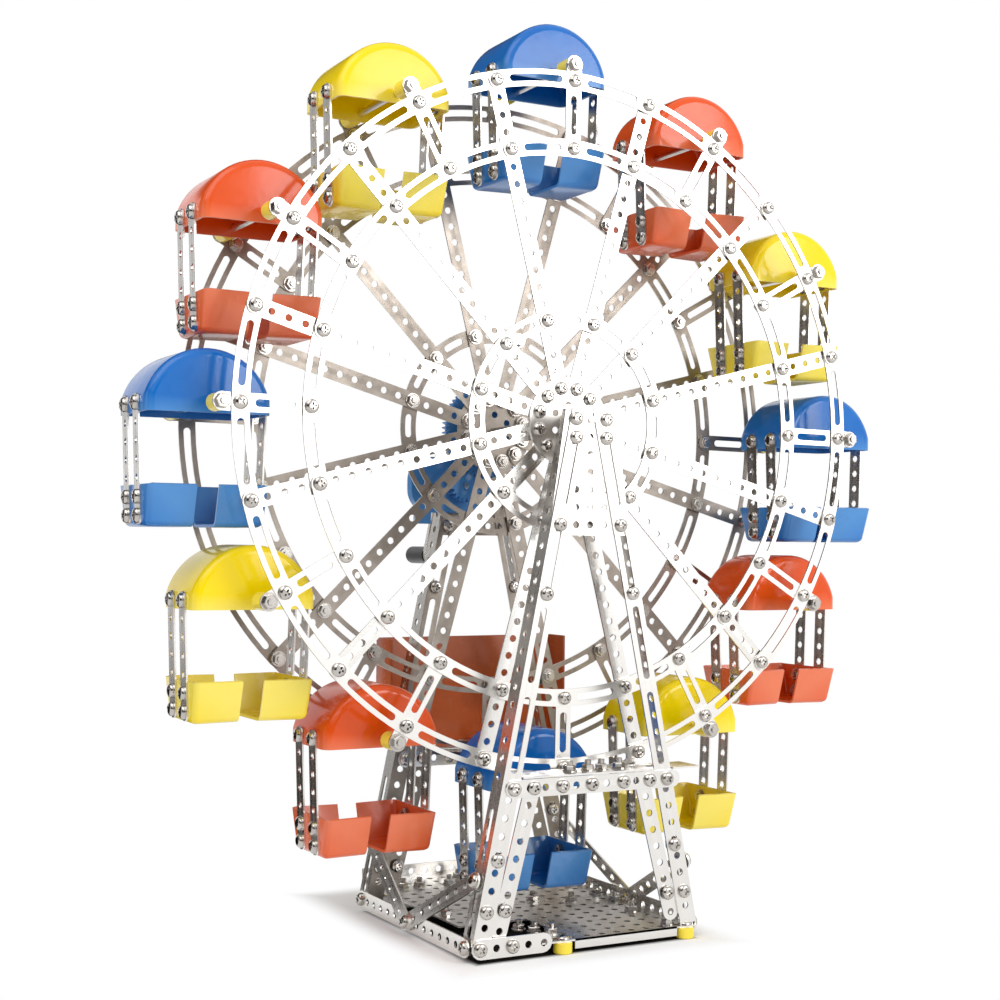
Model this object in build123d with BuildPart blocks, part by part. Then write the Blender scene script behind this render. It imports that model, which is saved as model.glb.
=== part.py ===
# Hand-cranked ferris wheel from a metal construction kit.
# Millimetres, +Z up. X runs across the wheel, Y along its axle from front to back.
# It is drawn with the middle of the wheel at y 0. Saving moves each node along Y, so that
# the files' origin is on the ground under the middle of the whole part.

import os
from math import atan, atan2, cos, degrees, pi, radians, sin, sqrt, tan

from build123d import *

os.makedirs("parts", exist_ok=True)

# ---- kit ----
pitch = 10.0  # hole pitch of every strip and plate
strip_width = 10.0
sheet = 1.0  # thickness of the plated sheet steel
slot_width = 4.2
end_margin = 5.0  # from the last hole to the end of a strip
rod_d = 4.0  # axle, crank shaft and car rods
rod_sides = 12  # rods that repeat, and bores, are drawn with few faces
running_gap = 0.05  # radial clearance of a rod that turns in a bore
seat_gap = 0.02  # radial clearance of a part fixed on its rod
face_gap = 0.3  # between faces that pass each other

# ---- wheel ----
car_count = 12
rest_turn = -0.68  # degrees that the first car stands away from the very top
wheel_gap = 88.0  # clear width between the two wheels
outer_r = 200.0  # bolt circle
ring_step = 40.0  # between the bolt circles of the two large rings
small_r = 60.0
hub_disc_r = 26.0
hub_disc_sides = 12
ring_flat_count = 4  # flats along each arc of the large rings
small_ring_flat_count = 2
hub_boss_d = 12.0
hub_boss_length = 8.5
hanger_reach = 10.0  # of the car rods outside the outer ring's bolts
slot_end = 8.4  # from a bolt to the near end of a slot
hanger_chamfer = 2.5

# ---- car ----
roof_width = 70.0
roof_depth = 52.0
roof_height = 35.0
roof_side = 8.0  # upright part below the arch
roof_wall = 1.6
roof_flat_count = 8  # flats along the arch
roof_below_pivot = 5.0
strap_lean = 2.0  # degrees that the straps lean in towards the seats
strap_end_gap = 1.0  # of the straps' lower ends above the seats' undersides
strap_spacing = 20.0
seat_height = 22.5
car_gap = 9.0  # between the seats of a car and the roof of the next, where that one is lower by half the wheel's radius
seat_wall = 1.6
way_in = 12.0  # between the two seats
seat_end_width = 56.0  # of the rim at the end wall
seat_entry_width = 50.0  # of the rim beside the way in
seat_flare = 7.0  # of the front and back panels, from floor to rim

# ---- towers ----
tower_front_y = -72.0  # front faces of the two towers' leg sheets
tower_back_y = 69.0
leg_slope = 0.207  # sideways per unit of height
leg_face = 11.0
leg_flange = 12.0
leg_rise = 5.0  # above the axle
leg_axle_gap = 0.33  # between the axle and the legs that close up to it
cap_top_width = 32.0
cap_bottom_width = 54.0
cap_rise = 8.0
cap_drop = 66.0
axle_recess = 0.4  # of the axle's front end in its cap
axle_behind = 7.0  # of the axle behind the back tower's sheets
platform_drop = 206.4  # from the axle to the holes of the platform strips
platform_left = -54.0
platform_right = 79.0
platform_inner_y = 52.0  # of both platforms' edges beside the wheels
platform_leg_gap = 1.0
landing_right = 70.0  # of the front platform's plate, past the right leg
stay_top_x = 36.2
stay_slope = 0.262
stay_foot_gap = 8.9  # between the lowest hole and the base

# ---- base ----
base_back_y = 124.0
base_seam_y = 21.0
plate_left = -53.0
front_plate_left = -8.5
tongue_left = -30.0  # corner of the front plate that reaches the front strip
tongue_back_y = -50.0
side_plate_front_y = -15.0
base_clearance = 16.7  # between the base plates and the lowest seats
plate_z = 6.3  # underside of the base plates, on the feet
lip_bottom_z = 2.0
back_rim_height = 9.0
foot_d = 12.5
foot_sides = 12
foot_front_y = -70.0
foot_back_y = 116.0
foot_front_x = (-15.5, 67.0)
foot_back_x = (-45.0, 67.0)
edge_strip_z = 7.8  # centre line of the upright strips round the base
edge_strip_width = 11.0
front_strip_holes = 5
side_strip_holes = 15
side_strip_front_y = -70.0
brace_holes = 9
brace_foot_y = 5.0  # bolt that both braces of a side share

# ---- drive ----
gear_module = 1.0
gear_teeth = 57
pinion_teeth = 19
gear_width = 6.0
backlash = 0.4
pressure_angle = 20.0
crank_arm_length = 45.0
crank_arm_width = 10.0
crank_arm_thickness = 3.0
crank_arm_gap = 3.0  # behind the back tower's flanges
crank_shaft_front = 1.0  # in front of the pinion
knob_d = 11.0
knob_length = 24.0
knob_pin_head_d = 7.0
knob_pin_head = 1.5
housing_gap = 1.0  # behind the gears
housing_left = -49.5
housing_right = 6.0
housing_top = 17.0  # below the axle
housing_bottom = 52.0
housing_corner = 14.5
lug_left = -45.0
lug_right = -36.0
lug_drop = 7.0  # below the housing

# ---- rear screen, the red plastic guard behind the back tower ----
screen_left = -54.0
screen_right = 74.0
screen_back_y = 103.0
screen_wing = 22.0
screen_wall = 1.6
screen_height = 68.0

# ---- worked out from the sizes above ----
cell = 360 / car_count  # degrees from one car to the next
first_car = 90 + rest_turn
first_spoke = first_car + cell / 2
inner_r = outer_r - ring_step
pivot_r = outer_r + hanger_reach
roof_top = roof_height - roof_below_pivot
seat_top = pivot_r * sin(radians(cell)) - car_gap - seat_height - roof_top  # below the pivot
plate_top_z = plate_z + sheet
axle_height = plate_top_z + base_clearance + seat_height + seat_top + pivot_r
wheel_face = wheel_gap / 2
running_r = rod_d / 2 + running_gap
seat_r = rod_d / 2 + seat_gap
leg_angle = atan(leg_slope)
leg_edge = leg_face / 2 / cos(leg_angle)  # half the face, measured level
leg_top_x = (rod_d / 2 + leg_axle_gap) / cos(leg_angle) + leg_edge
side_x = leg_top_x + leg_slope * (axle_height - plate_top_z) + leg_edge  # outside of the legs' feet
middle_y = (foot_front_y - foot_d / 2 + base_back_y) / 2  # of the part, from the wheel's middle
gear_y = wheel_face + 2 * sheet + hub_boss_length
gear_back_y = gear_y + gear_width
gear_r = gear_module * gear_teeth / 2
pinion_r = gear_module * pinion_teeth / 2
centre_distance = gear_r + pinion_r

# the crank shaft sits on the back left leg's centre line, one centre distance from the axle
slope_sum = 1 + leg_slope**2
crank_drop = (
    sqrt((leg_top_x * leg_slope) ** 2 - slope_sum * (leg_top_x**2 - centre_distance**2))
    - leg_top_x * leg_slope
) / slope_sum
crank_x = -(leg_top_x + leg_slope * crank_drop)
crank_arm_y = tower_back_y + leg_flange + crank_arm_gap
crank_arm_back_y = crank_arm_y + crank_arm_thickness


def leg_x(drop):
    """Centre line of a right-hand leg, at a depth below the axle."""
    return leg_top_x + leg_slope * drop


def upright(y):
    """Plane square to the axle, its origin on the axle: local x is X, local y is Z, and it faces the front."""
    return Plane((0, y, axle_height), x_dir=(1, 0, 0), z_dir=(0, -1, 0))


def wheel_plane(side, level):
    """Upright plane at a level outward from a wheel's inner face: side -1 is the front wheel, 1 the back."""
    return upright(side * (wheel_face + level))


def bore(radius):
    """A round hole drawn in flats that touch its circle."""
    return RegularPolygon(radius, rod_sides, major_radius=False, mode=Mode.SUBTRACT)


def save(name, *parts):
    """Write one node. Pieces that touch come from separate parts, so that they stay separate solids."""
    node = parts[0] if len(parts) == 1 else Compound([s for p in parts for s in p.solids()])
    node = node.moved(Location((0, -middle_y, 0)))
    node.label = name
    export_step(node, f"parts/{name}.step")
    print(f"{name:16s} {len(node.solids()):3d} solids {node.volume / 1000:8.2f} cm3")


# ---- wheels: spokes, hangers and lapped ring arcs ----
spoke_start = strip_width / 2 / tan(radians(cell / 2)) + face_gap  # where the spokes close up
spoke_end = outer_r + end_margin
hanger_start = inner_r - end_margin
hanger_end = pivot_r + end_margin
half_strip = strip_width / 2
hanger_shoulder = hanger_end - hanger_chamfer
pair_count = car_count // 2
level_starts = (first_car + cell, first_car + 2 * cell)  # arcs and hangers alternate between two levels


def arc_outline(radius, flats):
    """Corners of a ring arc that spans a cell and laps past the bolt at each end, about the local X axis."""
    half = cell / 2 + degrees(end_margin / radius)
    turns = [radians(half * (2 * n / flats - 1)) for n in range(flats + 1)]
    rim = [((radius + half_strip) * cos(t), (radius + half_strip) * sin(t)) for t in turns]
    bore = [((radius - half_strip) * cos(t), (radius - half_strip) * sin(t)) for t in reversed(turns)]
    return rim + bore


for side, end in ((-1, "front"), (1, "back")):
    with BuildPart() as spokes:
        with BuildSketch(wheel_plane(side, 0)):
            with PolarLocations((spoke_start + spoke_end) / 2, car_count, first_spoke):
                Rectangle(spoke_end - spoke_start, strip_width)
        extrude(amount=-side * sheet)
    save(f"{end}_spokes", spokes.part)

    # a hanger lies under both rings' arcs and carries one end of a car's rod
    with BuildPart() as hangers:
        for level, start in enumerate(level_starts):
            with BuildSketch(wheel_plane(side, level * sheet)):
                with PolarLocations(0, pair_count, start):
                    Polygon(
                        (hanger_start, -half_strip),
                        (hanger_shoulder, -half_strip),
                        (hanger_end, hanger_chamfer - half_strip),
                        (hanger_end, half_strip - hanger_chamfer),
                        (hanger_shoulder, half_strip),
                        (hanger_start, half_strip),
                        align=None,
                    )
                with PolarLocations((inner_r + outer_r) / 2, pair_count, start):
                    Rectangle(outer_r - inner_r - 2 * slot_end, slot_width, mode=Mode.SUBTRACT)
            extrude(amount=-side * sheet)
    save(f"{end}_hangers", hangers.part)

    # each ring is twelve arcs from spoke to spoke, lapped over their neighbours
    levels = []
    for level, start in enumerate(level_starts):
        with BuildPart() as arcs:
            with BuildSketch(wheel_plane(side, (1 + level) * sheet)):
                for radius, slots, flats in (
                    (outer_r, 2, ring_flat_count),
                    (inner_r, 2, ring_flat_count),
                    (small_r, 1, small_ring_flat_count),
                ):
                    with PolarLocations(0, pair_count, start):
                        Polygon(*arc_outline(radius, flats), align=None)
                    slot_cell = cell / slots
                    slot_length = 2 * radius * sin(radians(slot_cell / 2)) - 2 * slot_end
                    for n in range(slots):
                        turn = start + (n - (slots - 1) / 2) * slot_cell
                        with PolarLocations(radius, pair_count, turn):
                            Rectangle(slot_width, slot_length, mode=Mode.SUBTRACT)
            extrude(amount=-side * sheet)
        levels.append(arcs.part)
    save(f"{end}_rings", *levels)

with BuildPart() as hub_discs:
    for side in (-1, 1):
        with BuildSketch(wheel_plane(side, sheet)):
            RegularPolygon(hub_disc_r, hub_disc_sides)
        extrude(amount=-side * sheet)
        with BuildSketch(wheel_plane(side, 2 * sheet)):
            RegularPolygon(hub_boss_d / 2, hub_disc_sides)
        extrude(amount=-side * hub_boss_length)
    with BuildSketch(upright(-gear_y)):
        RegularPolygon(seat_r, rod_sides, major_radius=False)
    extrude(amount=-2 * gear_y, mode=Mode.SUBTRACT)
save("hub_discs", hub_discs.part)

axle_front_y = tower_front_y - sheet + axle_recess
axle_back_y = tower_back_y + sheet + axle_behind
with BuildPart() as wheel_axle:
    with BuildSketch(upright(axle_front_y)):
        Circle(rod_d / 2)
    extrude(amount=axle_front_y - axle_back_y)
save("wheel_axle", wheel_axle.part)

with BuildPart() as car_axles:
    for level, start in enumerate(level_starts):
        rod_end = wheel_face + level * sheet
        with BuildSketch(upright(-rod_end)):
            with PolarLocations(pivot_r, pair_count, start):
                RegularPolygon(rod_d / 2, rod_sides)
        extrude(amount=-2 * rod_end)
save("car_axles", car_axles.part)

# ---- car, drawn with its rod through the origin ----
arch_rise = roof_height - roof_side
arch_r = ((roof_width / 2) ** 2 + arch_rise**2) / (2 * arch_rise)
roof_eave = roof_side - roof_below_pivot  # where the arch springs
arch_centre = roof_top - arch_r
lining_x = roof_width / 2 - roof_wall


def arch(radius, half_width):
    """Corners of an arch drawn in flats, over two upright sides."""
    half = atan2(half_width, roof_eave - arch_centre)
    turns = [half * (2 * n / roof_flat_count - 1) for n in range(roof_flat_count + 1)]
    crown = [(radius * sin(t), arch_centre + radius * cos(t)) for t in turns]
    return [(-half_width, -roof_below_pivot), *crown, (half_width, -roof_below_pivot)]


with BuildPart() as roof:
    with BuildSketch(Plane.XZ.offset(-roof_depth / 2)):
        Polygon(*arch(arch_r, roof_width / 2), align=None)
    extrude(amount=roof_depth)
    with BuildSketch(Plane.XZ.offset(roof_wall - roof_depth / 2)):
        Polygon(*arch(arch_r - roof_wall, lining_x), align=None)
    extrude(amount=roof_depth - 2 * roof_wall, mode=Mode.SUBTRACT)
    with BuildSketch(Plane.XZ.offset(-roof_depth / 2)):
        RegularPolygon(running_r, rod_sides, major_radius=False)
    extrude(amount=roof_depth, mode=Mode.SUBTRACT)

lean = radians(strap_lean)
strap_length = end_margin + seat_top + seat_height - strap_end_gap
strap_middle = roof_below_pivot + end_margin - strap_length / 2  # above the roof's lower edge
with BuildPart() as straps:
    for s in (-1, 1):
        face = Plane(
            (s * roof_width / 2, 0, -roof_below_pivot),
            x_dir=(0, s, 0),
            z_dir=(s * cos(lean), 0, -sin(lean)),
        )
        with BuildSketch(face):
            with Locations((0, strap_middle)):
                with GridLocations(strap_spacing, 0, 2, 1):
                    Rectangle(strip_width, strap_length)
        extrude(amount=sheet)

# a seat flares towards its rim and its end wall, and is open towards the way in
seat_end_x = roof_width / 2 - (seat_top - roof_below_pivot) * tan(lean)


def seat_block(inset):
    """The right-hand seat as a solid, or its hollow when the walls are taken off."""
    with BuildPart() as block:
        with BuildSketch(Plane.XY.offset(inset - seat_top - seat_height)):
            with Locations((way_in / 2, 0)):
                Rectangle(roof_width / 2, seat_end_width, align=(Align.MIN, Align.CENTER))
        extrude(amount=seat_height - inset)
        for s in (-1, 1):
            rim = Vector(seat_end_x - way_in / 2, s * (seat_end_width - seat_entry_width) / 2, 0)
            slope = Vector(0, -s * seat_flare, -seat_height)
            out = rim.cross(slope).normalized() * s
            corner = Vector(way_in / 2, s * seat_entry_width / 2, -seat_top)
            split(bisect_by=Plane(corner - out * inset, z_dir=out), keep=Keep.BOTTOM)
        end_wall = Plane((seat_end_x - inset, 0, -seat_top), z_dir=(cos(lean), 0, -sin(lean)))
        split(bisect_by=end_wall, keep=Keep.BOTTOM)
    return block.part


with BuildPart() as seats:
    add(seat_block(0))
    add(seat_block(seat_wall), mode=Mode.SUBTRACT)
    mirror(about=Plane.YZ)

for number in range(car_count):
    turn = radians(first_car + number * cell)
    pivot = (pivot_r * cos(turn), 0, axle_height + pivot_r * sin(turn))
    for shape, kind in ((roof, "roof"), (straps, "straps"), (seats, "seats")):
        with BuildPart() as hung:
            with Locations(pivot):
                add(shape.part)
        save(f"car_{number + 1:02d}_{kind}", hung.part)

# ---- towers ----
leg_foot_z = plate_top_z + leg_face / 2 * sin(leg_angle)  # middle of a leg's square-cut lower end
leg_foot_x = leg_x(axle_height - leg_foot_z)
leg_length = (axle_height + leg_rise - leg_foot_z) / cos(leg_angle)
with BuildPart() as legs:
    for tower_y in (tower_front_y, tower_back_y):
        foot = Plane(
            (leg_foot_x, tower_y, leg_foot_z),
            x_dir=(cos(leg_angle), 0, sin(leg_angle)),
            z_dir=(-sin(leg_angle), 0, cos(leg_angle)),
        )
        with BuildSketch(foot):
            Polygon(
                (-leg_face / 2, 0),
                (leg_face / 2, 0),
                (leg_face / 2, leg_flange),
                (leg_face / 2 - sheet, leg_flange),
                (leg_face / 2 - sheet, sheet),
                (-leg_face / 2, sheet),
                align=None,
            )
        extrude(amount=leg_length)
    mirror(about=Plane.YZ)
    with BuildSketch(upright(tower_back_y)):
        with Locations((crank_x, -crank_drop)):
            RegularPolygon(running_r, rod_sides, major_radius=False)
    extrude(amount=-sheet, mode=Mode.SUBTRACT)
save("legs", legs.part)

with BuildPart() as top_plates:
    for tower_y in (tower_front_y, tower_back_y):
        with BuildSketch(upright(tower_y)):
            Polygon(
                (-cap_top_width / 2, cap_rise),
                (cap_top_width / 2, cap_rise),
                (cap_bottom_width / 2, -cap_drop),
                (-cap_bottom_width / 2, -cap_drop),
                align=None,
            )
            bore(running_r)
            if tower_y == tower_back_y:
                with Locations((crank_x, -crank_drop)):
                    bore(running_r)
        extrude(amount=sheet)
save("top_plates", top_plates.part)

# boarding platforms: an upright strip across both legs, and a level plate on top of it
platform_top = platform_drop - strip_width / 2  # upper edge of the strips, below the axle
platform_z = axle_height - platform_top + face_gap
between_legs = leg_x(platform_top) - leg_edge - platform_leg_gap
past_leg = leg_x(platform_top) + leg_edge + platform_leg_gap
behind_leg = tower_front_y + leg_flange + platform_leg_gap
platform_middle = (platform_left + platform_right) / 2
landing_y = tower_back_y + leg_flange + platform_leg_gap  # behind the back legs
with BuildPart() as platforms:
    for tower_y in (tower_front_y, tower_back_y):
        with BuildSketch(upright(tower_y)):
            with Locations((platform_middle, -platform_drop)):
                Rectangle(platform_right - platform_left, strip_width)
        extrude(amount=sheet)
    with BuildSketch(Plane.XY.offset(platform_z)):
        Polygon(
            (-between_legs, tower_front_y - sheet),
            (between_legs, tower_front_y - sheet),
            (between_legs, behind_leg),
            (past_leg, behind_leg),
            (past_leg, tower_front_y - sheet),
            (landing_right, tower_front_y - sheet),
            (landing_right, -platform_inner_y),
            (-between_legs, -platform_inner_y),
            align=None,
        )
        Polygon(
            (-between_legs, tower_back_y - sheet),
            (between_legs, tower_back_y - sheet),
            (between_legs, landing_y),
            (platform_right, landing_y),
            (platform_right, screen_back_y),
            (platform_left, screen_back_y),
            (platform_left, landing_y),
            (-between_legs, landing_y),
            align=None,
        )
    extrude(amount=sheet)
save("platforms", platforms.part)

# inner stays, behind the leg sheets, cut level under the platforms
stay_angle = atan(stay_slope)
stay_length = (axle_height - platform_drop - plate_top_z - stay_foot_gap) / cos(stay_angle)
stay_middle = (
    stay_top_x + stay_length / 2 * sin(stay_angle),
    -platform_drop - stay_length / 2 * cos(stay_angle),
)
with BuildPart() as stays:
    for tower_y in (tower_front_y, tower_back_y):
        with BuildSketch(upright(tower_y + 2 * sheet)):
            with Locations(stay_middle):
                Rectangle(stay_length + 2 * end_margin, strip_width, rotation=degrees(stay_angle) - 90)
            with Locations((stay_top_x, -platform_top)):
                Rectangle(
                    4 * strip_width,
                    2 * strip_width,
                    align=(Align.CENTER, Align.MIN),
                    mode=Mode.SUBTRACT,
                )
            mirror(about=Plane.YZ)
        extrude(amount=sheet)
save("stays", stays.part)

# ---- base ----
with BuildPart() as front_plate:
    with BuildSketch(Plane.XY.offset(plate_z)):
        Polygon(
            (tongue_left, tower_front_y),
            (side_x, tower_front_y),
            (side_x, base_seam_y),
            (plate_left, base_seam_y),
            (plate_left, side_plate_front_y),
            (front_plate_left, side_plate_front_y),
            (front_plate_left, tongue_back_y),
            (tongue_left, tongue_back_y),
            align=None,
        )
    extrude(amount=sheet)
    lip_right = foot_front_x[1] - foot_d / 2 - face_gap
    with BuildSketch(Plane.XY.offset(plate_z)):
        with Locations((front_plate_left, tower_front_y)):
            Rectangle(lip_right - front_plate_left, sheet, align=(Align.MIN, Align.MIN))
    extrude(amount=lip_bottom_z - plate_z)
with BuildPart() as back_plate:
    with BuildSketch(Plane.XY.offset(plate_z)):
        with Locations((plate_left, base_seam_y)):
            Rectangle(side_x - plate_left, base_back_y - base_seam_y, align=(Align.MIN, Align.MIN))
    extrude(amount=sheet)
    with BuildSketch(Plane.XY.offset(plate_top_z)):
        with Locations((plate_left, base_back_y)):
            Rectangle(side_x - plate_left, sheet, align=(Align.MIN, Align.MAX))
    extrude(amount=back_rim_height)
save("base_plates", front_plate.part, back_plate.part)

side_strip_middle = side_strip_front_y + side_strip_holes * pitch / 2
with BuildPart() as edge_strips:
    for x, align_x in ((-side_x, Align.MAX), (side_x, Align.MIN)):
        with BuildSketch(Plane.XY.offset(edge_strip_z)):
            with Locations((x, side_strip_middle)):
                Rectangle(sheet, side_strip_holes * pitch, align=(align_x, Align.CENTER))
        extrude(amount=edge_strip_width / 2, both=True)
    with BuildSketch(Plane.XY.offset(edge_strip_z)):
        with Locations((-side_x, tower_front_y)):
            Rectangle(front_strip_holes * pitch, sheet, align=(Align.MIN, Align.MAX))
    extrude(amount=edge_strip_width / 2, both=True)
save("edge_strips", edge_strips.part)

# two braces a side, in planes along the leaning flanges, lapped over each other at their shared bolt
brace_reach = (brace_holes - 1) * pitch
brace_out = (
    side_x + sheet - leg_edge - leg_x(axle_height - edge_strip_z - edge_strip_width / 2)
) * cos(leg_angle)
flange_middle = leg_flange / 2
strip_out_z = edge_strip_z + edge_strip_width / 2
braces = []
for layer, tower_y in ((0, tower_front_y), (1, tower_back_y)):
    run = tower_y + flange_middle - brace_foot_y
    rise = sqrt(brace_reach**2 - run**2)
    shift = layer * sheet
    side_plane = Plane(
        (side_x + sheet + shift * cos(leg_angle), brace_foot_y, strip_out_z + shift * sin(leg_angle)),
        x_dir=(0, 1, 0),
        z_dir=(cos(leg_angle), 0, sin(leg_angle)),
    )
    with BuildPart() as brace:
        with BuildSketch(side_plane):
            with Locations((run / 2, rise / 2 - edge_strip_width / 2)):
                Rectangle(
                    brace_reach + 2 * end_margin, strip_width, rotation=degrees(atan2(rise, run))
                )
        extrude(amount=sheet)
        mirror(about=Plane.YZ)
    braces.append(brace.part)
save("braces", *braces)

with BuildPart() as feet:
    with BuildSketch():
        for xs, y in ((foot_front_x, foot_front_y), (foot_back_x, foot_back_y)):
            with Locations(*[(x, y) for x in xs]):
                RegularPolygon(foot_d / 2, foot_sides)
    extrude(amount=plate_z)
save("feet", feet.part)

# ---- drive ----


def gear_outline(teeth, first_tooth):
    """Straight-flanked teeth, four corners each, with one tooth's middle at first_tooth degrees."""
    r = gear_module * teeth / 2
    half_thickness = pi * gear_module / 4 - backlash / 4
    outline = []
    for n in range(teeth):
        middle = radians(first_tooth + n * 360 / teeth)
        for rise, sign in ((-1.25, -1), (1, -1), (1, 1), (-1.25, 1)):
            corner_r = r + rise * gear_module
            half = (half_thickness - rise * gear_module * tan(radians(pressure_angle))) / corner_r
            outline.append((corner_r * cos(middle + sign * half), corner_r * sin(middle + sign * half)))
    return outline


mesh_angle = degrees(atan2(-crank_drop, crank_x))
with BuildPart() as drive_gear:
    with BuildSketch(upright(gear_y)):
        Polygon(*gear_outline(gear_teeth, mesh_angle), align=None)
        bore(seat_r)
    extrude(amount=-gear_width)
save("drive_gear", drive_gear.part)

with BuildPart() as crank_pinion:
    with BuildSketch(upright(gear_y)):
        with Locations((crank_x, -crank_drop)):
            Polygon(*gear_outline(pinion_teeth, mesh_angle + 180 + 180 / pinion_teeth), align=None)
            bore(seat_r)
    extrude(amount=-gear_width)
save("crank_pinion", crank_pinion.part)

arm_angle = -90 - degrees(leg_angle)  # the arm hangs along the leg
knob_x = crank_x + crank_arm_length * cos(radians(arm_angle))
knob_drop = crank_drop - crank_arm_length * sin(radians(arm_angle))
knob_front_y = crank_arm_back_y + face_gap
knob_back_y = knob_front_y + knob_length
pin_end_y = knob_back_y + face_gap + knob_pin_head
with BuildPart() as crank_handle:
    with BuildSketch(upright(gear_y - crank_shaft_front)):
        with Locations((crank_x, -crank_drop)):
            Circle(rod_d / 2)
    extrude(amount=gear_y - crank_shaft_front - crank_arm_back_y)
    with BuildSketch(upright(crank_arm_y)):
        with Locations(((crank_x + knob_x) / 2, -(crank_drop + knob_drop) / 2)):
            SlotCenterToCenter(crank_arm_length, crank_arm_width, rotation=arm_angle)
    extrude(amount=-crank_arm_thickness)
    with BuildSketch(upright(crank_arm_back_y)):
        with Locations((knob_x, -knob_drop)):
            RegularPolygon(rod_d / 2, rod_sides)
    extrude(amount=crank_arm_back_y - pin_end_y)
    with BuildSketch(upright(pin_end_y)):
        with Locations((knob_x, -knob_drop)):
            RegularPolygon(knob_pin_head_d / 2, rod_sides)
    extrude(amount=knob_pin_head)
save("crank_handle", crank_handle.part)

with BuildPart() as crank_knob:
    with BuildSketch(upright(knob_front_y)):
        with Locations((knob_x, -knob_drop)):
            Circle(knob_d / 2)
            bore(running_r)
    extrude(amount=-knob_length)
save("crank_knob", crank_knob.part)

housing_front_y = gear_back_y + housing_gap
housing_middle = ((housing_left + housing_right) / 2, -(housing_top + housing_bottom) / 2)
with BuildPart() as crank_housing:
    with BuildSketch(upright(housing_front_y)):
        with Locations(housing_middle):
            RectangleRounded(
                housing_right - housing_left, housing_bottom - housing_top, housing_corner
            )
        with Locations(((lug_left + lug_right) / 2, -housing_bottom - lug_drop)):
            Rectangle(
                lug_right - lug_left, lug_drop + housing_corner, align=(Align.CENTER, Align.MIN)
            )
        with Locations((crank_x, -crank_drop)):
            bore(running_r)
    extrude(amount=housing_front_y + sheet - tower_back_y)
save("crank_housing", crank_housing.part)

# ---- rear screen, standing on the back platform ----
with BuildPart() as rear_screen:
    with BuildSketch(Plane.XY.offset(platform_z + sheet)):
        with Locations((screen_left, screen_back_y)):
            Rectangle(screen_right - screen_left, screen_wing, align=(Align.MIN, Align.MAX))
        with Locations((screen_left + screen_wall, screen_back_y - screen_wall)):
            Rectangle(
                screen_right - screen_left - 2 * screen_wall,
                screen_wing,
                align=(Align.MIN, Align.MAX),
                mode=Mode.SUBTRACT,
            )
    extrude(amount=screen_height)
save("rear_screen", rear_screen.part)
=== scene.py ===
from math import atan, atan2, ceil, cos, degrees, pi, radians, sin, sqrt, tan

import bmesh
import bpy
from mathutils import Matrix, Vector
from mathutils.geometry import tessellate_polygon


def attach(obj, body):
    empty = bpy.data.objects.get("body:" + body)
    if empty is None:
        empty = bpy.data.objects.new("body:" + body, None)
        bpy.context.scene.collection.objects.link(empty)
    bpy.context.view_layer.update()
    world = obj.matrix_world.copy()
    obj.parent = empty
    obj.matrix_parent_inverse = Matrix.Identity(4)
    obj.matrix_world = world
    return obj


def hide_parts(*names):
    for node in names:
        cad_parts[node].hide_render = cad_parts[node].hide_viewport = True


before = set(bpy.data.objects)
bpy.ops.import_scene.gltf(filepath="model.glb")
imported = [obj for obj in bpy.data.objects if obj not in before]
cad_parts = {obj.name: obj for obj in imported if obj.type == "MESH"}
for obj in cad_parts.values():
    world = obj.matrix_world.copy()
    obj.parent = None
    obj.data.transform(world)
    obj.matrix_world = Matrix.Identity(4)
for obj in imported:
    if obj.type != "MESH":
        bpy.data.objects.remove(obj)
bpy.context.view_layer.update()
scene = bpy.context.scene
print("frame loaded:", len(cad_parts), "nodes")

kit = {
    "wheelY": -23.875,  # the wheel's middle plane in the part's frame
    "axleZ": 300.0,
    "pitch": 10.0,
    "width": 10.0,
    "sheet": 1.0,
    "hole": 4.2,
    "slot": 4.2,
    "holeSides": 14,
    "endSteps": 7,
    "arcStep": 2.5,  # degrees
}
pitch, thick = kit["pitch"], kit["sheet"]


def feed(tree, node, links):  # a source is a value, a socket, a node's first output, or a list of them
    for socket, source in links.items():
        for one in source if isinstance(source, list) else [source]:
            if isinstance(one, bpy.types.Node):
                one = one.outputs[0]
            if isinstance(one, bpy.types.NodeSocket):
                tree.links.new(one, node.inputs[socket])
            else:
                node.inputs[socket].default_value = one


def addNode(tree, kind, links=None, **settings):
    node = tree.nodes.new(kind)
    for key, value in settings.items():
        setattr(node, key, value)
    feed(tree, node, links or {})
    return node


def linear(code):  # sRGB hex to linear RGBA
    parts = [int(code[i : i + 2], 16) / 255 for i in (1, 3, 5)]
    return (*[c / 12.92 if c <= 0.04045 else ((c + 0.055) / 1.055) ** 2.4 for c in parts], 1.0)


def newTree(name, sockets):  # sockets are the named inputs and their kinds
    tree = bpy.data.node_groups.new(name, "GeometryNodeTree")
    for label, kind in {"Geometry": "Geometry", **sockets}.items():
        tree.interface.new_socket(label, in_out="INPUT", socket_type=f"NodeSocket{kind}")
    tree.interface.new_socket("Geometry", in_out="OUTPUT", socket_type="NodeSocketGeometry")
    return tree, addNode(tree, "NodeGroupInput")


def endTree(tree, start, geometry):  # every tree ends in real geometry with its finish on it
    real = addNode(tree, "GeometryNodeRealizeInstances", {"Geometry": geometry})
    finish = start.outputs["Finish"]
    coat = addNode(tree, "GeometryNodeSetMaterial", {"Geometry": real, "Material": finish})
    addNode(tree, "NodeGroupOutput", {"Geometry": coat})


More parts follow.
